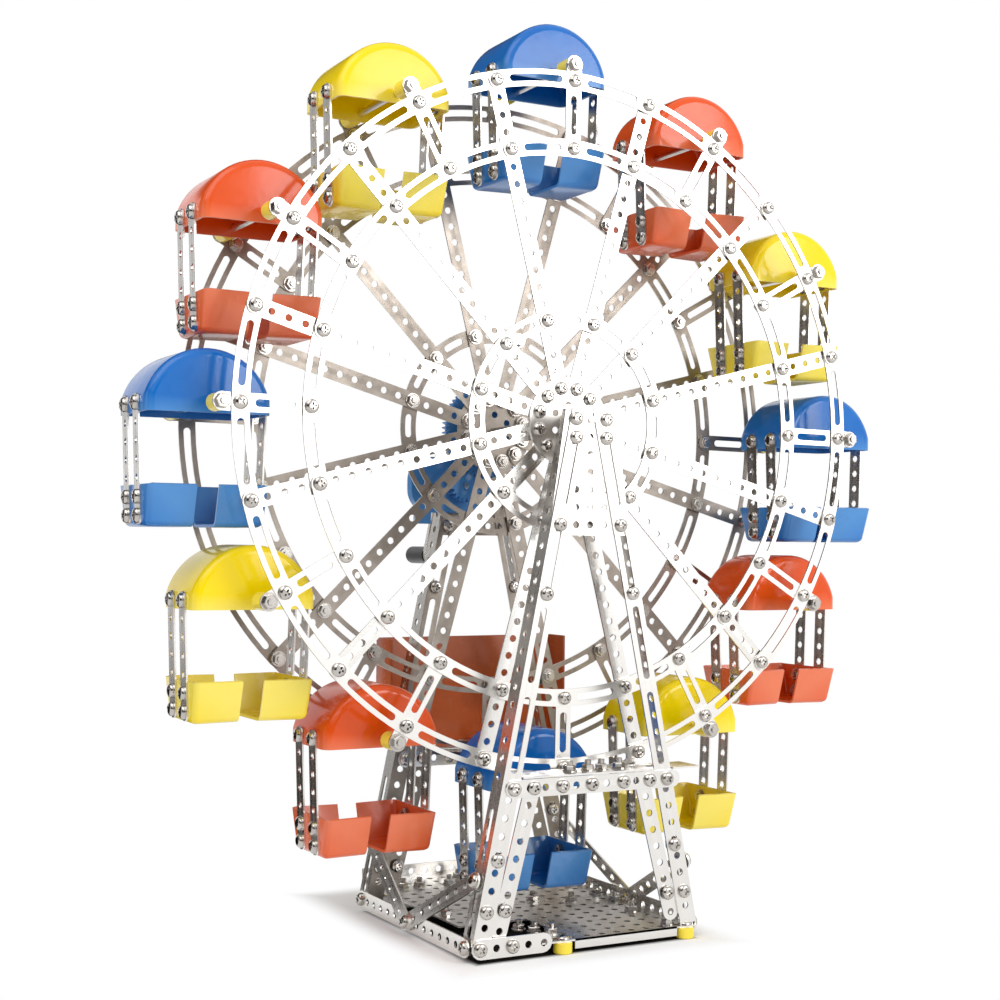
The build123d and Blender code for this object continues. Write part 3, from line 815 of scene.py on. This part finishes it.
# towers: folded legs, trapezoid caps, platform strips, inner stays
tower = {
    "frontY": -72.0,
    "backY": 69.0,
    "slope": 0.207,
    "face": 11.0,
    "flange": 12.0,
    "rise": 5.0,
    "topX": 7.996,
    "footZ": 7.3,
    "slots": 4,
    "slotFirst": 28.4,  # from the axle down to the middle of the first slot
    "slotLong": 42.8,
    "slotPitch": 49.5,
    "lowSlots": (27.0, 69.0),  # from the platform down to the flange's slots
    "lowSlot": 30.0,
    "holeStart": 6.0,
    "endMargin": 4.0,
    "capTop": 32.0,
    "capLow": 54.0,
    "capRise": 8.0,
    "capDrop": 66.0,
    "capRow": 7,
    "capSideX": 9.3,
    "platformDrop": 206.4,
    "platformLeft": -54.0,
    "platformRight": 79.0,
    "stripHoles": 11,
    "stripRight": 61.0,
    "landingRight": 75.0,
    "landingInner": 52.0,
    "deckGap": 0.3,
    "deckClear": 1.0,
    "backEdge": 103.0,
    "innerRow": (-35.0, 40.0),  # first hole between the legs, and where the row ends
    "backRow": (-45.0, 75.0),
    "frontHolesY": -62.0,
    "innerHolesY": 76.0,
    "backHolesY": (90.0, 98.0),
    "stayTopX": 36.2,
    "staySlope": 0.262,
    "stayFootGap": 8.9,
}


def bothSides(spots):
    return [(s * x, z) for x, z in spots for s in (1, -1)]


# x and z from the axle of the bolts on the front of each tower
towerBolts = bothSides(((10, 0), (10, -10.5), (20, -60), (28.5, -99)))
towerBolts += [(x, -tower["platformDrop"]) for x in (-48.8, -36.2, -17.9, 1.4, 22.4, 40.2, 52.1)]
towerBolts += bothSides(((58.3, -245), (65, -272.5), (53.5, -272.5)))
legAngle = atan(tower["slope"])
legFootZ = tower["footZ"] + tower["face"] / 2 * sin(legAngle)
legFootX = tower["topX"] + tower["slope"] * (kit["axleZ"] - legFootZ)
legLong = (kit["axleZ"] + tower["rise"] - legFootZ) / cos(legAngle)
legUp = Vector((-sin(legAngle), 0, cos(legAngle)))
legOut = Vector((cos(legAngle), 0, sin(legAngle)))

half = tower["face"] / 2
axleAt = (kit["axleZ"] - legFootZ) / cos(legAngle)
lowEnd = axleAt - tower["platformDrop"] / cos(legAngle)  # where the platform crosses, from the foot up
flangeMiddle = -(tower["flange"] + thick) / 2
faceLoops = [box2d(0, legLong, -half, half)]
for n in range(tower["slots"]):
    middle = axleAt - (tower["slotFirst"] + n * tower["slotPitch"]) / cos(legAngle)
    faceLoops.append(stripOutline(tower["slotLong"], kit["slot"], (middle, 0)))
flangeLoops = [box2d(0, legLong, -tower["flange"], -thick)]
for drop in tower["lowSlots"]:
    flangeLoops.append(stripOutline(tower["lowSlot"], kit["slot"], (lowEnd - drop, flangeMiddle)))
faceRow = row(lowEnd - tower["holeStart"], tower["endMargin"], -pitch)
flangeRow = row(lowEnd + tower["holeStart"], legLong - tower["endMargin"], pitch)
legFace = sheetMesh(faceLoops, [(n, 0) for n in faceRow])
legFlange = sheetMesh(flangeLoops, [(n, flangeMiddle) for n in flangeRow])
legs = []
for y in (tower["frontY"], tower["backY"]):
    foot = Vector((legFootX, y, legFootZ))
    front = planeMatrix(foot + Vector((0, thick, 0)), legUp, (0, -1, 0))
    edge = planeMatrix(foot + legOut * (half - thick), legUp, legOut)
    leg = joined([moved(legFace, front), moved(legFlange, edge)])
    legs += [leg, moved(leg, mirrorX)]
steelSheet("towerLegs", joined(legs), "stand", "legs")

capHoles = [(0, -n * pitch) for n in range(tower["capRow"])]
capHoles += [(s * tower["capSideX"], -n * pitch) for s in (-1, 1) for n in (4, 5, 6)]
capTop, capLow = tower["capTop"] / 2, tower["capLow"] / 2
rise, drop = tower["capRise"], -tower["capDrop"]
cap = sheetMesh([[(-capTop, rise), (-capLow, drop), (capLow, drop), (capTop, rise)]], capHoles)

stripLong = tower["stripRight"] - tower["platformLeft"]
stripMiddle = (tower["stripRight"] + tower["platformLeft"]) / 2
firstHole = tower["platformLeft"] + pitch / 2
platformStrip = holedStrip(
    stripLong, (stripMiddle, -tower["platformDrop"]), firstHole, tower["stripHoles"]
)
stayAngle = atan(tower["staySlope"])
stayHigh = kit["axleZ"] - tower["platformDrop"] - tower["footZ"] - tower["stayFootGap"]
stayLong = stayHigh / cos(stayAngle)
stay = holedStrip(stayLong + kit["width"], (stayLong / 2, 0), 0, int(stayLong / pitch) + 1)
stayWay = Vector((sin(stayAngle), 0, -cos(stayAngle)))
caps, strips, stays, standHeads, standNuts = [], [], [], [], []
for y in (tower["frontY"], tower["backY"]):
    caps.append(moved(cap, upright(y + 2 * thick, kit["axleZ"])))
    strips.append(moved(platformStrip, upright(y, kit["axleZ"])))
    top = Vector((tower["stayTopX"], y + 2 * thick, kit["axleZ"] - tower["platformDrop"]))
    right = moved(stay, planeMatrix(top, stayWay, (0, -1, 0)))
    stays += [right, moved(right, mirrorX)]
    for x, z in towerBolts:
        front = thick if z == -tower["platformDrop"] else 0
        standHeads.append(((x, y - front, kit["axleZ"] + z), (0, -1, 0)))
        standNuts.append(((x, y + 2 * thick, kit["axleZ"] + z), (0, 1, 0)))
steelSheet("towerCaps", joined(caps), "stand", "top_plates")
steelSheet("innerStays", joined(stays), "stand", "stays")
print("towers built")

# boarding platforms
platformZ = kit["axleZ"] - tower["platformDrop"] + kit["width"] / 2 + tower["deckGap"]
legAt = tower["topX"] + tower["slope"] * (tower["platformDrop"] - kit["width"] / 2)
legEdge = half / cos(legAngle)
inside, outside = legAt - legEdge - tower["deckClear"], legAt + legEdge + tower["deckClear"]
frontY, backY = tower["frontY"] - thick, tower["backY"] - thick
behindLeg = tower["frontY"] + tower["flange"] + tower["deckClear"]
landingY = tower["backY"] + tower["flange"] + tower["deckClear"]
frontDeck = [
    (-inside, frontY), (inside, frontY), (inside, behindLeg), (outside, behindLeg), (outside, frontY),
    (tower["landingRight"], frontY), (tower["landingRight"], -tower["landingInner"]),
    (-inside, -tower["landingInner"]),
]
backDeck = [
    (-inside, backY), (inside, backY), (inside, landingY), (tower["platformRight"], landingY),
    (tower["platformRight"], tower["backEdge"]), (tower["platformLeft"], tower["backEdge"]),
    (tower["platformLeft"], landingY), (-inside, landingY),
]
betweenLegs = row(*tower["innerRow"], pitch)
frontHoles = [(x, tower["frontHolesY"]) for x in betweenLegs]
backHoles = [(x, y) for x in row(*tower["backRow"], pitch) for y in tower["backHolesY"]]
backHoles += [(x, tower["innerHolesY"]) for x in betweenLegs]
for outline, holes in ((frontDeck, frontHoles), (backDeck, backHoles)):
    strips.append(shifted(sheetMesh([outline], holes), z=platformZ))
steelSheet("boardingPlatforms", joined(strips), "stand", "platforms", False)

# base: perforated plates, upright strips round them, braces and feet
base = {
    "plateZ": 6.3,
    "plateLeft": -53.0,
    "frontLeft": -8.5,
    "tongueLeft": -30.0,
    "tongueBack": -50.0,
    "sideFront": -15.0,
    "seamY": 21.0,
    "seamGap": 0.4,
    "backY": 124.0,
    "lipLow": 2.0,
    "lipRight": 60.4,
    "rimHigh": 9.0,
    "rimHoleUp": 5.5,
    "holeMargin": 3.4,
    "stripZ": 7.8,
    "stripWide": 11.0,
    "sideHoles": 15,
    "sideFrom": -70.0,
    "frontHoles": 5,
    "footR": 5.4,
    "footEdge": 0.5,
    "footSides": 28,
    "sideBoltsY": (-65.0, 75.0),
    "frontBolts": (5.0, 25.0),  # from the left corner
    "braceHoles": 9,
    "braceY": 5.0,
}
sideX = legFootX + tower["slope"] * (legFootZ - tower["footZ"]) + legEdge
feetAt = ((-15.5, -70.0), (67.0, -70.0), (-45.0, 116.0), (67.0, 116.0))


def insideOutline(x, y, outline, margin):
    inner = False
    for (x0, y0), (x1, y1) in zip(outline, outline[1:] + outline[:1]):
        if (y0 > y) != (y1 > y) and x < (x1 - x0) * (y - y0) / (y1 - y0) + x0:
            inner = not inner
        dx, dy = x1 - x0, y1 - y0
        t = max(0, min(1, ((x - x0) * dx + (y - y0) * dy) / (dx * dx + dy * dy)))
        if (x - x0 - t * dx) ** 2 + (y - y0 - t * dy) ** 2 < margin**2:
            return False
    return inner


def perforated(outline):  # a plate with a hole wherever one of the pitch fits
    xs, ys = [p[0] for p in outline], [p[1] for p in outline]
    holes = [
        (x, y)
        for x in row(min(xs) + pitch / 2, max(xs), pitch)
        for y in row(min(ys) + pitch / 2, max(ys), pitch)
        if insideOutline(x, y, outline, base["holeMargin"])
    ]
    return sheetMesh([outline], holes)


left, seam = base["plateLeft"], base["seamY"] - base["seamGap"]
frontPlate = [
    (base["tongueLeft"], tower["frontY"]), (sideX, tower["frontY"]), (sideX, seam), (left, seam),
    (left, base["sideFront"]), (base["frontLeft"], base["sideFront"]),
    (base["frontLeft"], base["tongueBack"]), (base["tongueLeft"], base["tongueBack"]),
]
backPlate = box2d(left, sideX, base["seamY"], base["backY"])
plates = [shifted(perforated(outline), z=base["plateZ"]) for outline in (frontPlate, backPlate)]
onPlate = base["plateZ"] + thick
lip = sheetMesh([box2d(base["frontLeft"], base["lipRight"], base["lipLow"], onPlate)])
plates.append(moved(lip, upright(tower["frontY"] + thick)))
rimHoles = int((sideX - left) / pitch)
rim = sheetMesh(
    [box2d(left, sideX, onPlate, onPlate + base["rimHigh"])],
    [(left + (n + 0.5) * pitch, base["plateZ"] + base["rimHoleUp"]) for n in range(rimHoles)],
)
plates.append(moved(rim, upright(base["backY"])))
steelSheet("basePlates", joined(plates), "stand", "base_plates", False)

sideLong = base["sideHoles"] * pitch
firstHole = (pitch - sideLong) / 2
sideStrip = holedStrip(sideLong, (0, 0), firstHole, base["sideHoles"], base["stripWide"])
sideMiddle = base["sideFrom"] + sideLong / 2
right = moved(sideStrip, planeMatrix((sideX, sideMiddle, base["stripZ"]), (0, 1, 0), (1, 0, 0)))
frontLong = base["frontHoles"] * pitch
middle = (frontLong / 2 - sideX, base["stripZ"])
firstHole = pitch / 2 - sideX
frontStrip = holedStrip(frontLong, middle, firstHole, base["frontHoles"], base["stripWide"])
edgeStrips = [right, moved(right, mirrorX), moved(frontStrip, upright(tower["frontY"]))]
steelSheet("edgeStrips", joined(edgeStrips), "stand", "edge_strips", False)

braces, reach = [], (base["braceHoles"] - 1) * pitch
stripTop = base["stripZ"] + base["stripWide"] / 2
grip = 3 * thick  # strip and both braces
for layer, y in ((0, tower["frontY"]), (1, tower["backY"])):
    run = y + tower["flange"] / 2 - base["braceY"]
    rise = sqrt(reach**2 - run**2)
    origin = Vector((sideX + thick, base["braceY"], stripTop)) + legOut * layer
    plane = planeMatrix(origin, (0, 1, 0), legOut)
    middle = Vector((run / 2, rise / 2 - base["stripWide"] / 2))
    way = Vector((run, rise)).normalized()
    brace = sheetMesh(
        [stripOutline(reach + kit["width"], kit["width"], middle, degrees(atan2(rise, run)))],
        [tuple(middle + way * (n * pitch - reach / 2)) for n in range(base["braceHoles"])],
    )
    right = moved(brace, plane)
    braces += [right, moved(right, mirrorX)]
    for t in (-1, 1):
        end = middle + way * (t * reach / 2)
        place = plane @ Vector((end.x, end.y, thick))
        if t < 0 and layer == 0:
            continue  # the lower ends share one bolt
        behind = place - legOut * grip
        for s in (1, -1):
            out = Vector((s * legOut.x, 0, legOut.z))
            standHeads.append(((s * place.x, place.y, place.z), tuple(out)))
            standNuts.append(((s * behind.x, behind.y, behind.z), tuple(-out)))
steelSheet("braceStrips", joined(braces), "stand", "braces", False)

for s in (-1, 1):
    for y in base["sideBoltsY"]:
        standHeads.append(((s * (sideX + thick), y, base["stripZ"]), (s, 0, 0)))
        standNuts.append(((s * (sideX - thick), y, base["stripZ"]), (-s, 0, 0)))
for x in base["frontBolts"]:
    standHeads.append(((x - sideX, tower["frontY"] - thick, base["stripZ"]), (0, -1, 0)))
standHeads += [((x, y, onPlate), (0, 0, 1)) for x, y in feetAt]
studsAt = {  # places in plan of the nuts that stand on each level
    onPlate: [
        (-45.5, 101), (-36, 98), (-25, 96), (-4, 95), (-47, 14), (59, -25), (58.8, -64), (66, 5),
        (66, 27), (66, 60), (-26, -38), (-21, -47), (-14, -54), (-22, -64), (20, 27), (-20, 14),
        (40, 14), (40, 110), (10, 110),
    ],
    platformZ + thick: [(x, tower["frontHolesY"]) for x in (-7, 5, 14, 26)]
    + [(x, 91) for x in (-45, -20, 15, 45, 65)],
}
studs = [((x, y, z), (0, 0, 1)) for z, places in studsAt.items() for x, y in places]
boltSet("standStuds", fastened(studs, "stud"), "stand")
boltSet("standBolts", fastened(standHeads, "head"), "stand")
boltSet("standNuts", fastened(standNuts, "nut"), "stand")

r, edge, high = base["footR"], base["footEdge"], base["plateZ"]
footProfile = ((r - edge, 0), (r, edge), (r, high - edge), (r - edge, high))
footRims = [rimCorners(*rim, base["footSides"]) for rim in footProfile]
foot = smoothed(stackedMesh("foot", footRims), 40)
feet = joined([shifted(foot, x, y) for x, y in feetAt])
show("plasticFeet", feet, finishes["yellow"], "stand", ["feet"])
print("base built")


# drive and screen
def softBlock(mesh, width):
    def soften(work):
        bmesh.ops.remove_doubles(work, verts=work.verts, dist=0.001)
        bmesh.ops.dissolve_limit(work, angle_limit=0.02, verts=work.verts, edges=work.edges)
        sharp = [e for e in work.edges if e.is_manifold and e.calc_face_angle(0) > radians(30)]
        bmesh.ops.bevel(work, geom=sharp, offset=width, segments=3, profile=0.5, affect="EDGES")

    return smoothed(reworked(mesh, soften), 30)


screen = {
    "left": -54.0,
    "right": 74.0,
    "wing": 22.0,
    "wall": 1.6,
    "high": 68.0,
    "edge": 0.4,
}


def screenPlan(s):
    left, right, back, wall = s["left"], s["right"], tower["backEdge"], s["wall"]
    front, inner = back - s["wing"], back - wall
    return [
        (left, front), (left + wall, front), (left + wall, inner), (right - wall, inner),
        (right - wall, front), (right, front), (right, back), (left, back),
    ]


panel = softBlock(sheetMesh([screenPlan(screen)], thickness=screen["high"]), screen["edge"])
panel = shifted(panel, z=platformZ + thick)
show("rearScreen", panel, finishes["screen"], "stand", ["rear_screen"])

cadFinishes = {  # nodes that the scene shows as they are
    "wheel_axle": "nickel",
    "car_axles": "nickel",
    "drive_gear": "blue",
    "crank_pinion": "blue",
    "crank_handle": "nickel",
    "crank_knob": "black",
    "crank_housing": "blue",
}
for name, finish in cadFinishes.items():
    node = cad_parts[name]
    node.data.materials.clear()
    node.data.materials.append(finishes[finish])
for model in models.values():
    bpy.data.objects.remove(model)
print("drive finished")

# studio: white floor and background with a shadow painted under the base, a soft window at the front
# right, a lamp high on the left
studio = {
    "camera": (-495.3, -880.9, 229.2),
    "yaw": -28.35,
    "tilt": 1.48,
    "roll": 0.47,
    "lens": 60.08,
    "sensor": 36,
    "farClip": 50,
    "aim": (0, 0, 0.28),
    "window": {"at": (0.81, -1.53, 0.8), "size": 0.9, "power": 14.0},
    "top": {"at": (-0.9, -0.5, 1.6), "size": 1.2, "power": 9.0},
    "worldLight": 0.68,
    "floorHalf": 8.0,
    "shadowBox": ((0, 0, 0), (0.075, 0.099, 0)),  # middle and half size; beyond it the floor is white
    "shadowFade": 0.026,
    "paintedShadowBox": ((0, -0.0235, 0), (0.069, 0.0715, 0)),  # painted shadow: dark floor colour under the open front of the base
    "paintedShadowFade": 0.005,
    "paintedShadowColour": (0.02, 0.018, 0.016, 1),
    "floorColour": (0.92, 0.92, 0.92, 1),
}
lens = bpy.data.cameras.new("photoCamera")
lens.lens = studio["lens"]
lens.sensor_width = studio["sensor"]
lens.clip_end = studio["farClip"]
camera = bpy.data.objects.new("photoCamera", lens)
scene.collection.objects.link(camera)
yaw, tilt, roll = (radians(studio[k]) for k in ("yaw", "tilt", "roll"))
forward = Vector((-sin(yaw) * cos(tilt), cos(yaw) * cos(tilt), sin(tilt)))
level = Vector((cos(yaw), sin(yaw), 0))
sideways = level * cos(roll) + level.cross(forward) * sin(roll)
x, y, z = studio["camera"]
place = Vector((x, y + kit["wheelY"], z)) / 1000
camera.matrix_world = planeMatrix(place, sideways, -forward)
scene.camera = camera
for name in ("window", "top"):
    place = Vector(studio[name]["at"])
    light = bpy.data.lights.new(name, "AREA")
    light.size = studio[name]["size"]
    light.energy = studio[name]["power"]
    lamp = bpy.data.objects.new(name, light)
    scene.collection.objects.link(lamp)
    lamp.location = place
    lamp.rotation_euler = (Vector(studio["aim"]) - place).to_track_quat("-Z", "Y").to_euler()


def rayIs(tree, kinds):  # 1 for a ray of one of these kinds, otherwise 0
    path = addNode(tree, "ShaderNodeLightPath")
    seen = path.outputs[kinds[0]]
    for kind in kinds[1:]:
        links = {0: seen, 1: path.outputs[kind]}
        seen = addNode(tree, "ShaderNodeMath", links, operation="MAXIMUM").outputs[0]
    return seen


world = bpy.data.worlds.new("studio")
scene.world = world
world.use_nodes = True
tree = world.node_tree
seen = rayIs(tree, ("Is Camera Ray", "Is Glossy Ray", "Is Transmission Ray"))
strength = addNode(
    tree, "ShaderNodeMapRange", {"Value": seen, "To Min": studio["worldLight"], "To Max": 1.0}
)
feed(tree, tree.nodes["Background"], {"Strength": strength, "Color": (1, 1, 1, 1)})


def stagePlane(name, corners, finish):
    mesh = bpy.data.meshes.new(name)
    mesh.from_pydata(corners, [], [(0, 1, 2, 3)])
    mesh.materials.append(finish)
    one = bpy.data.objects.new(name, mesh)
    scene.collection.objects.link(one)
    return one


floorFinish, tree, _ = newFinish("whiteFloor")
glow = addNode(tree, "ShaderNodeEmission", {"Color": (1, 1, 1, 1), "Strength": 1.0})
seen = rayIs(tree, ("Is Camera Ray", "Is Glossy Ray"))
spot = addNode(tree, "ShaderNodeTexCoord").outputs["Object"]


def outsideBox(middle, half):  # metres that a spot of the floor lies outside a box, below 0 inside it
    off = addNode(tree, "ShaderNodeVectorMath", {0: spot, 1: middle}, operation="SUBTRACT")
    off = addNode(tree, "ShaderNodeVectorMath", {0: off}, operation="ABSOLUTE")
    off = addNode(tree, "ShaderNodeVectorMath", {0: off, 1: half}, operation="SUBTRACT")
    off = addNode(tree, "ShaderNodeSeparateXYZ", {"Vector": off})
    return addNode(
        tree, "ShaderNodeMath", {0: off.outputs["X"], 1: off.outputs["Y"]}, operation="MAXIMUM"
    )


share = addNode(
    tree,
    "ShaderNodeMapRange",
    {"Value": outsideBox(*studio["shadowBox"]), "From Min": 0.0, "From Max": studio["shadowFade"]},
    interpolation_type="SMOOTHSTEP",
)
share = addNode(tree, "ShaderNodeMath", {0: share, 1: seen}, operation="MULTIPLY")
# inside the slot box the floor's colour turns near black: a shadow painted under the base
pastPaintedShadow = addNode(
    tree,
    "ShaderNodeMapRange",
    {"Value": outsideBox(*studio["paintedShadowBox"]), "From Min": 0.0, "From Max": studio["paintedShadowFade"]},
)
shade = addNode(
    tree,
    "ShaderNodeMix",
    {"Factor": pastPaintedShadow, 6: studio["paintedShadowColour"], 7: studio["floorColour"]},
    data_type="RGBA",
)
matt = addNode(tree, "ShaderNodeBsdfDiffuse", {"Color": shade.outputs[2]})
blend = addNode(tree, "ShaderNodeMixShader", {0: share, 1: matt, 2: glow})
feed(tree, tree.nodes["Material Output"], {"Surface": blend})
far = studio["floorHalf"]
stagePlane("floor", [(-far, -far, 0), (far, -far, 0), (far, far, 0), (-far, far, 0)], floorFinish)


def cardFinish(name, code):
    finish, tree, _ = newFinish(name)
    flat = addNode(tree, "ShaderNodeEmission", {"Color": linear(code), "Strength": 1.0})
    feed(tree, tree.nodes["Material Output"], {"Surface": flat})
    return finish


for name, corners, code in (  # what the plating mirrors: mostly dark to the left and behind
    ("leftCard", [(-2.4, -3.4, 0.0), (-2.4, -3.4, 1.6), (-2.4, -0.2, 1.6), (-2.4, -0.2, 0.0)], "#2E2823"),
    ("rearCard", [(-2.4, -3.4, 0.0), (-2.4, -3.4, 1.6), (0.0, -3.4, 1.6), (0.0, -3.4, 0.0)], "#2E2823"),
    ("lowCard", [(0.3, 2.0, 0.0), (0.3, 2.0, 0.75), (1.7, 1.3, 0.75), (1.7, 1.3, 0.0)], "#8A837E"),
    ("backCard", [(-1.9, 4.1, 0.0), (-4.6, 1.2, 0.0), (-4.6, 1.2, 3.4), (-1.9, 4.1, 3.4)], "#332B25"),
    ("highCard", [(-1.6, 2.2, 1.35), (1.2, 2.2, 1.35), (1.2, 1.0, 2.6), (-1.6, 1.0, 2.6)], "#4A423B"),
    (
        "groundCard",
        [(0.02, 0.13, 0.003), (-0.2, 0.16, 0.003), (-4.6, 1.2, 0.003), (-1.9, 4.1, 0.003)],
        "#332B25",
    ),
):
    card = stagePlane(name, corners, cardFinish(name, code))
    card.visible_camera = False
    card.visible_diffuse = False
    card.visible_shadow = False
scene.view_settings.view_transform = "Standard"
print("studio lit")
